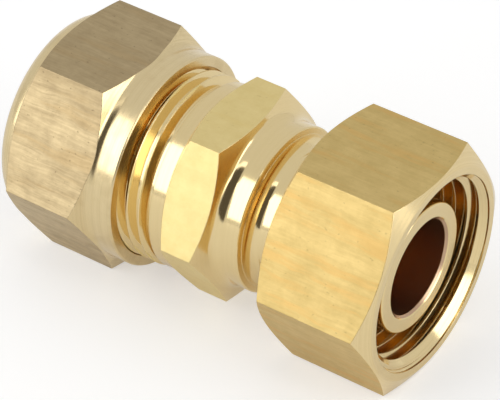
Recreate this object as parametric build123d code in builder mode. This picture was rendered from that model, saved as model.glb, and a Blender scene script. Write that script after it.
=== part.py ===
"""Straight compression fitting: 22 mm compression end to a G3/4 union nut.

The pipe axis is world X, the union mouth faces +X and +Z is up. The origin is on the
axis, halfway along the fitting. Millimetres.
"""

import os
from math import ceil, cos, radians, sin, sqrt, tan

from build123d import *

# ---- thread G3/4 (ISO 228), right-hand -------------------------------------------------
PITCH = 25.4 / 14
FLANK = radians(27.5)
MALE_MAJOR_R = 13.20
MALE_MINOR_R = 12.03
FEMALE_MAJOR_R = 13.32
FEMALE_MINOR_R = 12.13
MALE_FLOOR_HALF = 0.20
RIDGE_PLAY = 0.085
CUT_OVER = 0.06
GUIDE_R = 14.0
RUN_TURNS = 3
CREST_ANGLE = 134.6
CREST_X = -7.30
UNION_RIDGE_X = 27.10
UNION_RIDGE_ANGLE = 30.0

# ---- hexagons --------------------------------------------------------------------------
NUT_AF = 30.0
BODY_AF = 26.0
BODY_HEX_TURN = 3.0
UNION_TURN = -1.4
NUT_TURN = 0.8
HEX_OVER = 1.002

# ---- body ------------------------------------------------------------------------------
BODY_REAR_X = -17.75
NOSE_R = 11.90
NOSE_LENGTH = 1.1
THREAD_END_X = -5.55
RELIEF_LENGTH = 0.95
RELIEF_R = 11.97
BAND_R = 12.98
BODY_HEX_REAR_X = -2.18
BODY_HEX_FRONT_X = 2.21
BODY_REAR_CHAMFER = radians(33)
BODY_FRONT_CHAMFER = radians(26)
COLLAR_R = 11.55
COLLAR_FACE_X = 7.25
COLLAR_FILLET = 1.75
COLLAR_EDGE = 0.15
FACE_STEP_R = 10.60
FACE_STEP = 0.08
NECK_FILLET = 1.50
NECK_R = 9.0
TAIL_END_X = 27.52
TAIL_EDGE = 0.35
TAIL_BORE_R = 6.60
TAIL_BORE_CHAMFER = 0.45
PIPE_SOCKET_R = 11.05
PIPE_STOP_X = -0.50
WATERWAY_R = 9.50
WATERWAY_END_X = 2.30
WATERWAY_CONE_X = 4.00
SEAT_R = 11.70
SEAT_ANGLE = radians(30)

# ---- retaining ring and seal on the tail -----------------------------------------------
RING_X = 17.60
RING_WIRE_R = 1.00
RING_CENTRE_R = 9.12
RING_GAP_ANGLE = 14.0
RING_GROOVE_R = 1.06
SEAL_X = 24.20
SEAL_SECTION_R = 0.89
SEAL_GROOVE_R = 7.50
SEAL_CENTRE_R = SEAL_GROOVE_R + SEAL_SECTION_R + 0.02
SEAL_GROOVE_WIDTH = 2.40

# ---- union nut -------------------------------------------------------------------------
UNION_REAR_X = 12.68
UNION_REAR_CORNER_X = 14.25
UNION_FRONT_CORNER_X = 28.18
UNION_FRONT_X = 29.55
UNION_FACE_R = 14.60
UNION_MOUTH_R = 13.55
UNION_MOUTH_STEP = 0.30
UNION_HOLE_R = 9.20
UNION_HOLE_CHAMFER = 1.05
UNION_SEAT_X = 16.00
UNION_SEAT_R = 10.70
UNION_SHOULDER_X = 17.60
UNION_RELIEF_END_X = 20.00
UNION_RELIEF_X = 18.60

# ---- compression nut -------------------------------------------------------------------
NUT_REAR_X = -29.55
NUT_FRONT_X = -10.40
NUT_REAR_CORNER_X = -25.43
NUT_FRONT_CORNER_X = -15.44
NUT_CHAMFER = radians(30)
NUT_COLLAR_R = 14.83
NUT_COLLAR_FILLET = 1.20
NUT_COLLAR_EDGE = 0.18
NUT_MOUTH_R = 13.38
NUT_HUB_R = 14.97
NUT_HUB_ROUND = 3.10
NUT_HOLE_R = 11.15
NUT_HOLE_EDGE = 0.30
NUT_CONE_X = -24.20
NUT_CAVITY_R = 12.13
NUT_RELIEF_X = -21.90
NUT_RELIEF_END_X = -19.60

# ---- compression ring (olive) ----------------------------------------------------------
OLIVE_FRONT_X = -17.33
OLIVE_REAR_X = -23.75
OLIVE_BORE_R = 11.05
OLIVE_END_R = 11.25
OLIVE_R = 11.92

CORNER = 2 / sqrt(3)


def across(x, angle=0.0):
    """Plane square to the pipe axis at x, its own X axis at `angle` from +Y towards +Z."""
    turn = radians(angle)
    return Plane(origin=(x, 0, 0), x_dir=(0, cos(turn), sin(turn)), z_dir=(1, 0, 0))


def turned(points, fillets=()):
    """Solid of revolution about the pipe axis from (x, r) points, some corners rounded."""
    with BuildPart() as solid:
        with BuildSketch(Plane.XY) as half:
            with BuildLine():
                Polyline(*points, close=True)
            make_face()
            for (x, r), radius in fillets:
                corner = half.vertices().sort_by_distance((x, r, 0))[0]
                fillet(corner, radius=radius)
        revolve(axis=Axis.X)
    return solid.part


def hex_bar(flats, x_from, x_to, turn=0.0):
    """Hexagonal bar between two stations, a flat facing down when turn is zero."""
    with BuildPart() as bar:
        with BuildSketch(across(x_from, turn)):
            RegularPolygon(radius=flats / 2, side_count=6, major_radius=False)
        extrude(amount=x_to - x_from)
    return bar.part


def thread_groove(minor_r, major_r, floor_half):
    """Helical V cutter of RUN_TURNS about local Z, its first section on the local X axis."""
    wide = floor_half + (major_r - minor_r + CUT_OVER) * tan(FLANK)
    outer = major_r + CUT_OVER
    with BuildPart() as cutter:
        with BuildLine() as path:
            Helix(pitch=PITCH, height=PITCH * RUN_TURNS, radius=GUIDE_R)
        with BuildSketch(Plane.XZ):
            with BuildLine():
                Polyline(
                    (minor_r, -floor_half),
                    (outer, -wide),
                    (outer, wide),
                    (minor_r, floor_half),
                    close=True,
                )
            make_face()
        sweep(path=path.line, is_frenet=True)
    return cutter.part


def screw(minor_r, major_r, floor_half, x_from, x_to, groove_x, angle):
    """Threaded bar between two stations, one groove centred at groove_x at `angle`.

    The groove is cut in short runs along a longer bar, which is then trimmed."""
    run = RUN_TURNS * PITCH
    first = groove_x - PITCH * ceil((groove_x - x_from) / PITCH + 1)
    runs = ceil((x_to + PITCH - first) / run)
    groove = thread_groove(minor_r, major_r, floor_half)
    with BuildPart() as bar:
        with BuildSketch(across(first - PITCH)):
            Circle(major_r)
        extrude(amount=runs * run + 2 * PITCH)
        for step in range(runs):
            with Locations(across(first + step * run, angle).location):
                add(groove, mode=Mode.SUBTRACT)
        with BuildSketch(across(x_from)):
            Circle(major_r + 1)
        extrude(amount=x_to - x_from, mode=Mode.INTERSECT)
    return bar.part


def tap(x_from, x_to, groove_x, angle):
    """Cutter for an internal thread: a screw whose grooves leave the nut's ridges."""
    depth = FEMALE_MAJOR_R - FEMALE_MINOR_R
    at_minor = MALE_FLOOR_HALF + (FEMALE_MINOR_R - MALE_MINOR_R) * tan(FLANK)
    ridge_half = at_minor - 2 * RIDGE_PLAY
    if ridge_half + depth * tan(FLANK) > PITCH / 2:
        raise ValueError("the nut's ridges meet at their roots")
    return screw(FEMALE_MINOR_R, FEMALE_MAJOR_R, ridge_half, x_from, x_to, groove_x, angle)


def male_stub():
    """Threaded length of the body with its plain nose and its relief at the band."""
    shoulder = BODY_REAR_X + NOSE_LENGTH
    nose = turned(
        [
            (BODY_REAR_X, 0),
            (BODY_REAR_X, NOSE_R),
            (shoulder, NOSE_R),
            (shoulder + MALE_MAJOR_R + 1 - NOSE_R, MALE_MAJOR_R + 1),
            (THREAD_END_X - RELIEF_LENGTH, MALE_MAJOR_R + 1),
            (THREAD_END_X - RELIEF_LENGTH, RELIEF_R),
            (THREAD_END_X + 1, RELIEF_R),
            (THREAD_END_X + 1, 0),
        ]
    )
    groove_x = CREST_X + PITCH / 2
    with BuildPart() as stub:
        add(
            screw(
                MALE_MINOR_R,
                MALE_MAJOR_R,
                MALE_FLOOR_HALF,
                BODY_REAR_X - 1,
                THREAD_END_X + 1,
                groove_x,
                CREST_ANGLE,
            )
        )
        add(nose, mode=Mode.INTERSECT)
    return stub.part


def body_shank():
    """Band, hexagon and collar of the body, turned and then cut to the hexagon."""
    peak = BODY_AF / 2 * CORNER * HEX_OVER
    rear_foot = BODY_HEX_REAR_X - (peak - BAND_R) * tan(BODY_REAR_CHAMFER)
    front_foot = BODY_HEX_FRONT_X + (peak - COLLAR_R) * tan(BODY_FRONT_CHAMFER)
    blank = turned(
        [
            (THREAD_END_X, 0),
            (THREAD_END_X, BAND_R),
            (rear_foot, BAND_R),
            (BODY_HEX_REAR_X, peak),
            (BODY_HEX_FRONT_X, peak),
            (front_foot, COLLAR_R),
            (COLLAR_FACE_X - COLLAR_EDGE, COLLAR_R),
            (COLLAR_FACE_X, COLLAR_R - COLLAR_EDGE),
            (COLLAR_FACE_X, 0),
        ],
        [((front_foot, COLLAR_R), COLLAR_FILLET)],
    )
    with BuildPart() as shank:
        add(blank)
        add(hex_bar(BODY_AF, THREAD_END_X, COLLAR_FACE_X, BODY_HEX_TURN), mode=Mode.INTERSECT)
    return shank.part


def body_tail():
    """Plain tail with the wire-ring groove and the seal groove."""
    foot = COLLAR_FACE_X + FACE_STEP
    tail = turned(
        [
            (COLLAR_FACE_X - 1, 0),
            (COLLAR_FACE_X - 1, FACE_STEP_R),
            (foot, FACE_STEP_R),
            (foot, NECK_R),
            (TAIL_END_X, NECK_R),
            (TAIL_END_X, 0),
        ],
        [((foot, NECK_R), NECK_FILLET), ((TAIL_END_X, NECK_R), TAIL_EDGE)],
    )
    with BuildPart() as cut:
        add(tail)
        with BuildSketch(Plane.XY):
            with Locations((RING_X, RING_CENTRE_R)):
                Circle(RING_GROOVE_R)
            with Locations((SEAL_X, SEAL_GROOVE_R + 2)):
                Rectangle(SEAL_GROOVE_WIDTH, 4)
        revolve(axis=Axis.X, mode=Mode.SUBTRACT)
    return cut.part


def body_bore():
    """Pipe socket with its seat cone, waterway and tail bore, as one cutter."""
    over = 0.5
    seat_end = BODY_REAR_X + (SEAT_R - PIPE_SOCKET_R) / tan(SEAT_ANGLE)
    seat_over = SEAT_R + over * tan(SEAT_ANGLE)
    lead = TAIL_BORE_R + TAIL_BORE_CHAMFER
    return turned(
        [
            (BODY_REAR_X - over, 0),
            (BODY_REAR_X - over, seat_over),
            (seat_end, PIPE_SOCKET_R),
            (PIPE_STOP_X, PIPE_SOCKET_R),
            (PIPE_STOP_X, WATERWAY_R),
            (WATERWAY_END_X, WATERWAY_R),
            (WATERWAY_CONE_X, TAIL_BORE_R),
            (TAIL_END_X - TAIL_BORE_CHAMFER, TAIL_BORE_R),
            (TAIL_END_X, lead),
            (TAIL_END_X + over, lead + over),
            (TAIL_END_X + over, 0),
        ]
    )


def union_blank():
    peak = NUT_AF / 2 * CORNER * HEX_OVER
    rear_rise = (peak - UNION_FACE_R) * tan(NUT_CHAMFER)
    return turned(
        [
            (UNION_REAR_X, 0),
            (UNION_REAR_CORNER_X - rear_rise, UNION_FACE_R),
            (UNION_REAR_CORNER_X, peak),
            (UNION_FRONT_CORNER_X, peak),
            (UNION_FRONT_X, UNION_FACE_R),
            (UNION_FRONT_X, 0),
        ]
    )


def union_bore():
    over = 0.5
    relief_r = FEMALE_MAJOR_R + 0.05
    step_x = UNION_FRONT_X - UNION_MOUTH_STEP
    mouth_foot = step_x - (UNION_MOUTH_R - FEMALE_MINOR_R)
    seat_end = UNION_SEAT_X + UNION_SEAT_R - UNION_HOLE_R
    return turned(
        [
            (UNION_REAR_X - over, 0),
            (UNION_REAR_X - over, UNION_HOLE_R + UNION_HOLE_CHAMFER + over),
            (UNION_REAR_X + UNION_HOLE_CHAMFER, UNION_HOLE_R),
            (UNION_SEAT_X, UNION_HOLE_R),
            (seat_end, UNION_SEAT_R),
            (UNION_SHOULDER_X, UNION_SEAT_R),
            (UNION_SHOULDER_X, relief_r),
            (UNION_RELIEF_END_X, relief_r),
            (UNION_RELIEF_END_X + relief_r - FEMALE_MINOR_R, FEMALE_MINOR_R),
            (mouth_foot, FEMALE_MINOR_R),
            (step_x, UNION_MOUTH_R),
            (UNION_FRONT_X + over, UNION_MOUTH_R),
            (UNION_FRONT_X + over, 0),
        ]
    )


def nut_blank():
    peak = NUT_AF / 2 * CORNER * HEX_OVER
    cone_foot = NUT_FRONT_CORNER_X + (peak - NUT_COLLAR_R) * tan(NUT_CHAMFER)
    centre_x = NUT_REAR_X + NUT_HUB_ROUND
    centre_r = NUT_HUB_R - NUT_HUB_ROUND
    meet_x = NUT_REAR_CORNER_X - (peak - NUT_HUB_R) * tan(NUT_CHAMFER)
    meet_r = centre_r + sqrt(NUT_HUB_ROUND**2 - (centre_x - meet_x) ** 2)
    half = radians(45)
    middle = (centre_x - NUT_HUB_ROUND * cos(half), centre_r + NUT_HUB_ROUND * sin(half))
    with BuildPart() as blank:
        with BuildSketch(Plane.XY) as profile:
            with BuildLine():
                ThreePointArc((NUT_REAR_X, centre_r), middle, (meet_x, meet_r))
                Polyline(
                    (meet_x, meet_r),
                    (NUT_REAR_CORNER_X, peak),
                    (NUT_FRONT_CORNER_X, peak),
                    (cone_foot, NUT_COLLAR_R),
                    (NUT_FRONT_X - NUT_COLLAR_EDGE, NUT_COLLAR_R),
                    (NUT_FRONT_X, NUT_COLLAR_R - NUT_COLLAR_EDGE),
                    (NUT_FRONT_X, 0),
                    (NUT_REAR_X, 0),
                    (NUT_REAR_X, centre_r),
                )
            make_face()
            foot = profile.vertices().sort_by_distance((cone_foot, NUT_COLLAR_R, 0))[0]
            fillet(foot, radius=NUT_COLLAR_FILLET)
        revolve(axis=Axis.X)
    return blank.part


def nut_bore():
    over = 0.5
    relief_r = FEMALE_MAJOR_R + 0.05
    cone_end = NUT_CONE_X + (NUT_CAVITY_R - NUT_HOLE_R) / tan(SEAT_ANGLE)
    mouth_foot = NUT_FRONT_X - (NUT_MOUTH_R - FEMALE_MINOR_R)
    return turned(
        [
            (NUT_REAR_X - over, 0),
            (NUT_REAR_X - over, NUT_HOLE_R + NUT_HOLE_EDGE + over),
            (NUT_REAR_X + NUT_HOLE_EDGE, NUT_HOLE_R),
            (NUT_CONE_X, NUT_HOLE_R),
            (cone_end, NUT_CAVITY_R),
            (NUT_RELIEF_X, NUT_CAVITY_R),
            (NUT_RELIEF_X, relief_r),
            (NUT_RELIEF_END_X, relief_r),
            (NUT_RELIEF_END_X + relief_r - FEMALE_MINOR_R, FEMALE_MINOR_R),
            (mouth_foot, FEMALE_MINOR_R),
            (NUT_FRONT_X, NUT_MOUTH_R),
            (NUT_FRONT_X + over, NUT_MOUTH_R),
            (NUT_FRONT_X + over, 0),
        ]
    )


os.makedirs("parts", exist_ok=True)

with BuildPart() as body:
    add(body_shank())
    add(male_stub())
    add(body_tail())
    add(body_bore(), mode=Mode.SUBTRACT)
body.part.label = "body"
export_step(body.part, "parts/body.step")

with BuildPart() as union_nut:
    add(union_blank())
    add(hex_bar(NUT_AF, UNION_REAR_X, UNION_FRONT_X, UNION_TURN), mode=Mode.INTERSECT)
    add(union_bore(), mode=Mode.SUBTRACT)
    add(
        tap(UNION_RELIEF_X, UNION_FRONT_X + 1, UNION_RIDGE_X, UNION_RIDGE_ANGLE),
        mode=Mode.SUBTRACT,
    )
union_nut.part.label = "union_nut"
export_step(union_nut.part, "parts/union_nut.step")

with BuildPart() as compression_nut:
    add(nut_blank())
    add(hex_bar(NUT_AF, NUT_REAR_X, NUT_FRONT_X, NUT_TURN), mode=Mode.INTERSECT)
    add(nut_bore(), mode=Mode.SUBTRACT)
    add(
        tap(NUT_RELIEF_X + 0.5, NUT_FRONT_X + 1, CREST_X + PITCH / 2, CREST_ANGLE),
        mode=Mode.SUBTRACT,
    )
compression_nut.part.label = "compression_nut"
export_step(compression_nut.part, "parts/compression_nut.step")

taper = (OLIVE_R - OLIVE_END_R) / tan(SEAT_ANGLE)
with BuildPart() as compression_ring:
    with BuildSketch(Plane.XY):
        with BuildLine():
            Polyline(
                (OLIVE_REAR_X, OLIVE_BORE_R),
                (OLIVE_REAR_X, OLIVE_END_R),
                (OLIVE_REAR_X + taper, OLIVE_R),
                (OLIVE_FRONT_X - taper, OLIVE_R),
                (OLIVE_FRONT_X, OLIVE_END_R),
                (OLIVE_FRONT_X, OLIVE_BORE_R),
                close=True,
            )
        make_face()
    revolve(axis=Axis.X)
compression_ring.part.label = "compression_ring"
export_step(compression_ring.part, "parts/compression_ring.step")

with BuildPart() as retaining_ring:
    with BuildSketch(Plane.XY):
        with Locations((RING_X, RING_CENTRE_R)):
            Circle(RING_WIRE_R)
    revolve(axis=Axis.X, revolution_arc=360 - RING_GAP_ANGLE)
retaining_ring.part.label = "retaining_ring"
export_step(retaining_ring.part, "parts/retaining_ring.step")

with BuildPart() as seal_ring:
    with BuildSketch(Plane.XY):
        with Locations((SEAL_X, SEAL_CENTRE_R)):
            Circle(SEAL_SECTION_R)
    revolve(axis=Axis.X)
seal_ring.part.label = "seal_ring"
export_step(seal_ring.part, "parts/seal_ring.step")
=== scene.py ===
"""Looks of the straight compression fitting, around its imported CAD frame. Metres."""

from math import cos, pi, radians, sin

import bpy
from mathutils import Matrix, Vector


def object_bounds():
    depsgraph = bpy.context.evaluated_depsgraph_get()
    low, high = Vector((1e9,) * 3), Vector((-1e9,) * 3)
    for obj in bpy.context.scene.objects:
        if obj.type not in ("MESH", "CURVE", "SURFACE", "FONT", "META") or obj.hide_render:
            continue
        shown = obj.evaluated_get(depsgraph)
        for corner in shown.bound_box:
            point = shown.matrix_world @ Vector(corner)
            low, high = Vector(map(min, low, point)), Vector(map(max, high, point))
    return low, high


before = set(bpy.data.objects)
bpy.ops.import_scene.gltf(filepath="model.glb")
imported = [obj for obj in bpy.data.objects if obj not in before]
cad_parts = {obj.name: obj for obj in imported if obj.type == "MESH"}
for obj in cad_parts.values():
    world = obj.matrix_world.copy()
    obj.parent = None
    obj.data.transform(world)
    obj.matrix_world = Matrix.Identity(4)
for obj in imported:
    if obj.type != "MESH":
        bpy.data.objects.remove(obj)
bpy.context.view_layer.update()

MM = 0.001

# Sizes across the flats, and each hexagon's turn about the axis in degrees.
NUT_AF = 30.0 * MM
BODY_AF = 26.0 * MM
BODY_HEX_TURN = 3.0
UNION_TURN = -1.4
NUT_TURN = 0.8

# The flats' mask starts this far inside a flat and is full a little nearer to it.
FLAT_START = 0.02 * MM
FLAT_FULL = 0.008 * MM

# Heights between which painted shade darkens the tops of the nuts.
SHADE_TOP_FROM_Z = 11.0 * MM
SHADE_TOP_TO_Z = 15.0 * MM

# The bore's wall is inside BORE_R and is painted darker and redder as shade; end faces and
# the bore are rougher than turned sides.
BORE_R = 6.9 * MM
BORE_BLUR = 0.02 * MM
FACE_ROUGH = 0.27
EDGE_SOFTNESS = 0.13 * MM

# Radiance of the floor's own glow, and how much more of it the camera sees.
FLOOR_GLOW = 0.26
FLOOR_LIFT = 0.22
FLOOR_HALF = 8.0

# The tent's radiance, its bright strip's, and each panel's place, size and radiance.
TENT_RADIANCE = 0.70
STRIP_RADIANCE = 1.7
KEY_PLACE, KEY_SIZE, KEY_RADIANCE = (-0.41, -0.52, 0.37), (0.52, 0.66), 1.7
SIDE_PLACE, SIDE_SIZE, SIDE_RADIANCE = (0.78, 0.02, 0.22), (0.64, 0.48), 1.8
GLOSSY_BOUNCES = 10


# ---- node helpers ----------------------------------------------------------------------
class Graph:
    """Adds shader nodes to one tree; each call returns the output socket it makes."""

    def __init__(self, tree):
        self.tree = tree
        tree.nodes.clear()

    def node(self, kind, **settings):
        made = self.tree.nodes.new(kind)
        for name, value in settings.items():
            setattr(made, name, value)
        return made

    def put(self, socket, value):
        if isinstance(value, bpy.types.NodeSocket):
            self.tree.links.new(value, socket)
        else:
            socket.default_value = value

    def math(self, operation, a, b=0.0, c=0.0):
        made = self.node("ShaderNodeMath", operation=operation)
        for socket, value in zip(made.inputs, (a, b, c)):
            self.put(socket, value)
        return made.outputs[0]

    def vector(self, operation, a, b):
        made = self.node("ShaderNodeVectorMath", operation=operation)
        self.put(made.inputs[0], a)
        self.put(made.inputs[1], b)
        return made.outputs["Vector"]

    def split(self, vector):
        made = self.node("ShaderNodeSeparateXYZ")
        self.put(made.inputs[0], vector)
        return made.outputs

    def join(self, x, y, z):
        made = self.node("ShaderNodeCombineXYZ")
        for socket, value in zip(made.inputs, (x, y, z)):
            self.put(socket, value)
        return made.outputs[0]

    def ramp(self, value, low, high, to_low=0.0, to_high=1.0):
        made = self.node("ShaderNodeMapRange", clamp=True)
        made.interpolation_type = "SMOOTHSTEP"
        for socket, given in zip(made.inputs, (value, low, high, to_low, to_high)):
            self.put(socket, given)
        return made.outputs[0]

    def mix(self, factor, a, b):
        made = self.node("ShaderNodeMix", data_type="RGBA")
        self.put(made.inputs[0], factor)
        self.put(made.inputs[6], a)
        self.put(made.inputs[7], b)
        return made.outputs[2]

    def blend(self, factor, a, b):
        made = self.node("ShaderNodeMix", data_type="FLOAT")
        self.put(made.inputs[0], factor)
        self.put(made.inputs[2], a)
        self.put(made.inputs[3], b)
        return made.outputs[0]

    def noise(self, at, scale=1.0, detail=3.0, rough=0.55):
        made = self.node("ShaderNodeTexNoise")
        self.put(made.inputs["Vector"], at)
        made.inputs["Scale"].default_value = scale
        made.inputs["Detail"].default_value = detail
        made.inputs["Roughness"].default_value = rough
        return made.outputs["Fac"]


def colour(red, green, blue):
    return (red, green, blue, 1.0)


def grey(level):
    return colour(level, level, level)


# The bore's tone is painted shade, standing in for the bore's dim inner reflections.
BORE_SHADE_TONE = colour(0.60, 0.40, 0.26)
FLOOR_TONE = grey(0.66)
OPENING_TONE = colour(0.10, 0.09, 0.08)


# ---- masks and textures in the part's own coordinates ----------------------------------
def flat_mask(graph, parts, across_flats, turn):
    """1 on a hexagon's six flats, 0 on every turned surface."""
    biggest = 0.0
    for angle in (30, 90, 150):
        along = radians(angle + turn)
        far = graph.math(
            "ADD",
            graph.math("MULTIPLY", parts[1], cos(along)),
            graph.math("MULTIPLY", parts[2], sin(along)),
        )
        biggest = graph.math("MAXIMUM", biggest, graph.math("ABSOLUTE", far))
    half = across_flats / 2
    return graph.ramp(biggest, half - FLAT_START, half - FLAT_FULL)


def radius_of(graph, parts):
    return graph.math(
        "SQRT",
        graph.math(
            "ADD",
            graph.math("MULTIPLY", parts[1], parts[1]),
            graph.math("MULTIPLY", parts[2], parts[2]),
        ),
    )


def brass(name, flats, turned, across_flats, turn):
    """Brass with drawn hexagon flats and lathe-turned faces.

    flats and turned are dicts of colours, roughness from smooth to rough, and how strong each
    texture is: streak, long, cloud, mottle, top (painted shade darkening the top flats),
    pits, ring and bump."""
    material = bpy.data.materials.new(name)
    material.use_nodes = True
    graph = Graph(material.node_tree)
    out = graph.node("ShaderNodeOutputMaterial")
    shader = graph.node("ShaderNodeBsdfPrincipled")
    shader.inputs["Metallic"].default_value = 1.0
    graph.tree.links.new(shader.outputs[0], out.inputs[0])
    at = graph.node("ShaderNodeTexCoord").outputs["Object"]
    parts = graph.split(at)
    radius = radius_of(graph, parts)

    # Drawn flats: long axial streaks, broad mottling and a few pits.
    wander = graph.noise(graph.vector("MULTIPLY", at, (160.0, 420.0, 420.0)), detail=3.0)
    shift = graph.math("MULTIPLY", wander, 0.9 * MM)
    warped = graph.vector("ADD", at, graph.join(0.0, shift, shift))
    streak_at = graph.vector("MULTIPLY", warped, (150.0, 2600.0, 2600.0))
    streak = graph.noise(streak_at, detail=6.0, rough=0.72)
    long_at = graph.vector("MULTIPLY", warped, (60.0, 480.0, 480.0))
    long_streak = graph.noise(long_at, detail=4.0, rough=0.6)
    mottle = graph.noise(at, scale=380.0, detail=6.0, rough=0.72)
    pits = graph.noise(graph.vector("MULTIPLY", at, (1700.0, 2600.0, 2600.0)), detail=1.0)
    flat_tone = graph.math(
        "ADD",
        graph.math(
            "ADD",
            graph.math("MULTIPLY", graph.ramp(streak, 0.28, 0.72), flats["streak"]),
            graph.math("MULTIPLY", graph.ramp(long_streak, 0.28, 0.72), flats["long"]),
        ),
        graph.math("MULTIPLY", graph.ramp(mottle, 0.30, 0.70), flats["cloud"]),
    )
    flat_colour = graph.mix(flat_tone, flats["light"], flats["dark"])
    flat_colour = graph.mix(
        graph.math("MULTIPLY", graph.ramp(long_streak, 0.50, 0.66), flats["mottle"]),
        flat_colour,
        flats["tint"],
    )
    # Painted shade: the flats darken towards the top, by height.
    top_shade = graph.math("MULTIPLY", graph.ramp(parts[2], SHADE_TOP_FROM_Z, SHADE_TOP_TO_Z), flats["top_shade"])
    flat_colour = graph.mix(top_shade, flat_colour, flats["dark"])
    pit = graph.math("MULTIPLY", graph.ramp(pits, 0.70, 0.78), flats["pits"])
    flat_colour = graph.mix(pit, flat_colour, flats["pit"])

    # Turned faces: fine rings about the axis and a little cloudiness.
    rings = graph.noise(graph.join(parts[0], radius, 0.0), scale=3800.0, detail=2.0)
    cloud = graph.noise(at, scale=340.0, detail=2.0)
    turned_colour = graph.mix(
        graph.math("MULTIPLY", graph.ramp(rings, 0.35, 0.7), turned["ring"]),
        turned["light"],
        turned["dark"],
    )
    turned_colour = graph.mix(
        graph.math("MULTIPLY", graph.ramp(cloud, 0.45, 0.75), turned["mottle"]),
        turned_colour,
        turned["dark"],
    )
    # Painted shade: turned surfaces inside the bore take the bore's darker, redder tone.
    inside = graph.ramp(radius, BORE_R - BORE_BLUR, BORE_R + BORE_BLUR, 1.0, 0.0)
    turned_colour = graph.mix(inside, turned_colour, BORE_SHADE_TONE)
    flat = flat_mask(graph, parts, across_flats, turn)
    graph.put(shader.inputs["Base Color"], graph.mix(flat, turned_colour, flat_colour))
    flat_rough = graph.blend(flat_tone, *flats["rough"])
    turned_rough = graph.blend(graph.ramp(rings, 0.3, 0.7), *turned["rough"])
    facing = graph.split(graph.node("ShaderNodeTexCoord").outputs["Normal"])[0]
    faced = graph.ramp(graph.math("ABSOLUTE", facing), 0.97, 0.99)
    faced = graph.math("MAXIMUM", faced, inside)
    turned_rough = graph.blend(faced, turned_rough, FACE_ROUGH)
    graph.put(shader.inputs["Roughness"], graph.blend(flat, turned_rough, flat_rough))

    # The bevel rounds each sharp corner's shading; the bump is the surface finish.
    bevel = graph.node("ShaderNodeBevel", samples=6)
    bevel.inputs["Radius"].default_value = EDGE_SOFTNESS
    height = graph.blend(
        flat,
        graph.math("MULTIPLY", rings, turned["bump"]),
        graph.math("MULTIPLY", graph.math("ADD", streak, pit), flats["bump"]),
    )
    bump = graph.node("ShaderNodeBump")
    bump.inputs["Strength"].default_value = 1.0
    bump.inputs["Distance"].default_value = 1.0 * MM
    graph.put(bump.inputs["Height"], height)
    graph.put(bump.inputs["Normal"], bevel.outputs[0])
    graph.put(shader.inputs["Normal"], bump.outputs[0])
    return material


def plain(name, base, rough, metallic, scale, bump_height):
    """A small part's material: base colour, noise in roughness and a fine bump."""
    material = bpy.data.materials.new(name)
    material.use_nodes = True
    graph = Graph(material.node_tree)
    out = graph.node("ShaderNodeOutputMaterial")
    shader = graph.node("ShaderNodeBsdfPrincipled")
    shader.inputs["Metallic"].default_value = metallic
    graph.tree.links.new(shader.outputs[0], out.inputs[0])
    at = graph.node("ShaderNodeTexCoord").outputs["Object"]
    grain = graph.noise(at, scale=scale, detail=4.0)
    dark = tuple(channel * 0.75 for channel in base[:3]) + (1.0,)
    graph.put(shader.inputs["Base Color"], graph.mix(grain, base, dark))
    graph.put(shader.inputs["Roughness"], graph.blend(grain, *rough))
    bump = graph.node("ShaderNodeBump")
    bump.inputs["Distance"].default_value = bump_height
    graph.put(bump.inputs["Height"], grain)
    graph.put(shader.inputs["Normal"], bump.outputs[0])
    return material


def dress(node, material):
    mesh_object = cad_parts[node]
    for slot in mesh_object.material_slots:
        slot.material = material
    if not mesh_object.material_slots:
        mesh_object.data.materials.append(material)


# ---- materials -------------------------------------------------------------------------
union_brass = brass(
    "satin_union_brass",
    dict(
        light=colour(0.80, 0.60, 0.25),
        dark=colour(0.60, 0.44, 0.16),
        tint=colour(0.80, 0.51, 0.17),
        pit=colour(0.36, 0.25, 0.09),
        streak=0.30,
        long=0.35,
        cloud=0.35,
        mottle=0.55,
        top_shade=0.05,
        pits=0.35,
        rough=(0.40, 0.50),
        bump=0.004,
    ),
    dict(
        light=colour(0.90, 0.72, 0.39),
        dark=colour(0.80, 0.61, 0.30),
        ring=0.35,
        mottle=0.25,
        rough=(0.10, 0.17),
        bump=0.0005,
    ),
    NUT_AF,
    UNION_TURN,
)
dull_brass = brass(
    "tarnished_nut_brass",
    dict(
        light=colour(0.74, 0.59, 0.34),
        dark=colour(0.40, 0.30, 0.165),
        tint=colour(0.68, 0.49, 0.24),
        pit=colour(0.20, 0.14, 0.07),
        streak=0.42,
        long=0.30,
        cloud=0.28,
        mottle=0.40,
        top_shade=0.45,
        pits=0.50,
        rough=(0.40, 0.54),
        bump=0.006,
    ),
    dict(
        light=colour(0.84, 0.68, 0.39),
        dark=colour(0.68, 0.52, 0.27),
        ring=0.25,
        mottle=0.50,
        rough=(0.16, 0.26),
        bump=0.0004,
    ),
    NUT_AF,
    NUT_TURN,
)
body_brass = brass(
    "turned_body_brass",
    dict(
        light=colour(0.92, 0.75, 0.35),
        dark=colour(0.84, 0.67, 0.29),
        tint=colour(0.90, 0.70, 0.28),
        pit=colour(0.60, 0.44, 0.18),
        streak=0.15,
        long=0.15,
        cloud=0.70,
        mottle=0.20,
        top_shade=0.0,
        pits=0.25,
        rough=(0.38, 0.46),
        bump=0.003,
    ),
    dict(
        light=colour(0.89, 0.71, 0.38),
        dark=colour(0.81, 0.62, 0.30),
        ring=0.18,
        mottle=0.15,
        rough=(0.10, 0.15),
        bump=0.0001,
    ),
    BODY_AF,
    BODY_HEX_TURN,
)
dress("union_nut", union_brass)
dress("compression_nut", dull_brass)
dress("body", body_brass)
dress(
    "compression_ring",
    plain("olive_brass", colour(0.82, 0.62, 0.28), (0.22, 0.34), 1.0, 900.0, 0.02 * MM),
)
dress(
    "retaining_ring",
    plain("spring_wire", colour(0.55, 0.53, 0.50), (0.28, 0.40), 1.0, 1600.0, 0.02 * MM),
)
dress(
    "seal_ring",
    plain("black_rubber", colour(0.020, 0.020, 0.022), (0.50, 0.66), 0.0, 1400.0, 0.03 * MM),
)


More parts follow.
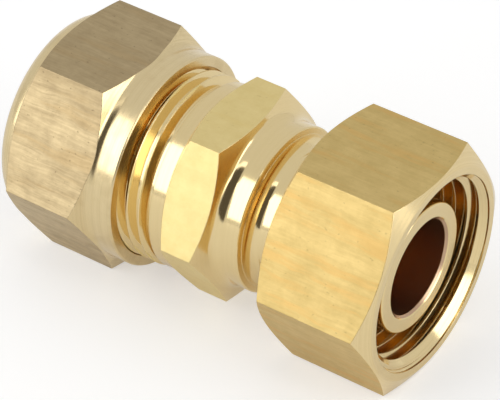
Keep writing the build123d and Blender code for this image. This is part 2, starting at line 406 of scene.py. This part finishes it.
# ---- floor -----------------------------------------------------------------------------
def make_floor():
    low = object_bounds()[0][2]
    half = FLOOR_HALF
    mesh = bpy.data.meshes.new("floor")
    corners = [(-half, -half, low), (half, -half, low), (half, half, low), (-half, half, low)]
    mesh.from_pydata(corners, [], [(0, 1, 2, 3)])
    floor = bpy.data.objects.new("floor", mesh)
    bpy.context.scene.collection.objects.link(floor)
    material = bpy.data.materials.new("pale_floor")
    material.use_nodes = True
    graph = Graph(material.node_tree)
    out = graph.node("ShaderNodeOutputMaterial")
    paper = graph.node("ShaderNodeBsdfDiffuse")
    paper.inputs["Color"].default_value = FLOOR_TONE
    lift = graph.node("ShaderNodeEmission")
    seen = graph.node("ShaderNodeLightPath").outputs["Is Camera Ray"]
    strength = graph.math("MULTIPLY_ADD", seen, FLOOR_LIFT, FLOOR_GLOW)
    graph.put(lift.inputs["Strength"], strength)
    both = graph.node("ShaderNodeAddShader")
    graph.put(both.inputs[0], paper.outputs[0])
    graph.put(both.inputs[1], lift.outputs[0])
    graph.put(out.inputs[0], both.outputs[0])
    floor.data.materials.append(material)


# ---- light -----------------------------------------------------------------------------
def area_light(name, place, size, radiance):
    """Rectangular softbox at place, facing the origin, given by its radiance."""
    lamp = bpy.data.lights.new(name, "AREA")
    lamp.shape = "RECTANGLE"
    lamp.size, lamp.size_y = size
    lamp.energy = radiance * pi * size[0] * size[1]
    holder = bpy.data.objects.new(name, lamp)
    bpy.context.scene.collection.objects.link(holder)
    holder.location = place
    holder.rotation_euler = (-Vector(place)).to_track_quat("-Z", "Y").to_euler()


def studio_world():
    """White tent with a dark opening on the camera's side and a bright strip above it.

    about is the direction's angle about the part's axis: 90 is up, 180 is towards -Y."""
    world = bpy.data.worlds.new("studio")
    bpy.context.scene.world = world
    world.use_nodes = True
    graph = Graph(world.node_tree)
    out = graph.node("ShaderNodeOutputWorld")
    light = graph.node("ShaderNodeBackground")
    graph.tree.links.new(light.outputs[0], out.inputs[0])
    way = graph.split(graph.node("ShaderNodeTexCoord").outputs["Generated"])
    about = graph.math("ARCTAN2", way[2], way[1])
    across = graph.math(
        "MULTIPLY",
        graph.ramp(way[0], -0.16, -0.10),
        graph.ramp(way[0], 0.84, 0.90, 1.0, 0.0),
    )
    opening = graph.math("MULTIPLY", across, graph.ramp(about, radians(107), radians(110)))
    strip = graph.math(
        "MULTIPLY",
        graph.math("MULTIPLY", across, graph.ramp(about, radians(100), radians(102))),
        graph.ramp(about, radians(107), radians(109), 1.0, 0.0),
    )
    tone = graph.mix(opening, grey(TENT_RADIANCE), OPENING_TONE)
    tone = graph.mix(strip, tone, grey(STRIP_RADIANCE))
    graph.put(light.inputs["Color"], tone)
    light.inputs["Strength"].default_value = 1.0


# ---- camera ----------------------------------------------------------------------------
def make_camera():
    """Long lens from the front, right and above; the numbers are its place and axes."""
    lens = bpy.data.cameras.new("camera")
    lens.sensor_width = 36.0
    lens.lens = 213.0
    lens.clip_start = 0.01
    lens.clip_end = 50.0
    camera = bpy.data.objects.new("camera", lens)
    right = Vector((0.82365, 0.56710, -0.00119))
    forward = Vector((-0.43706, 0.63344, -0.63853))
    up = right.cross(forward)
    axes = Matrix((right, up, -forward)).transposed().to_4x4()
    axes.translation = (0.17018, -0.24471, 0.24563)
    camera.matrix_world = axes
    bpy.context.scene.collection.objects.link(camera)
    bpy.context.scene.camera = camera


make_floor()
studio_world()
area_light("key_panel", KEY_PLACE, KEY_SIZE, KEY_RADIANCE)
area_light("side_panel", SIDE_PLACE, SIDE_SIZE, SIDE_RADIANCE)
make_camera()
bpy.context.scene.view_settings.view_transform = "Standard"
bpy.context.scene.cycles.glossy_bounces = GLOSSY_BOUNCES
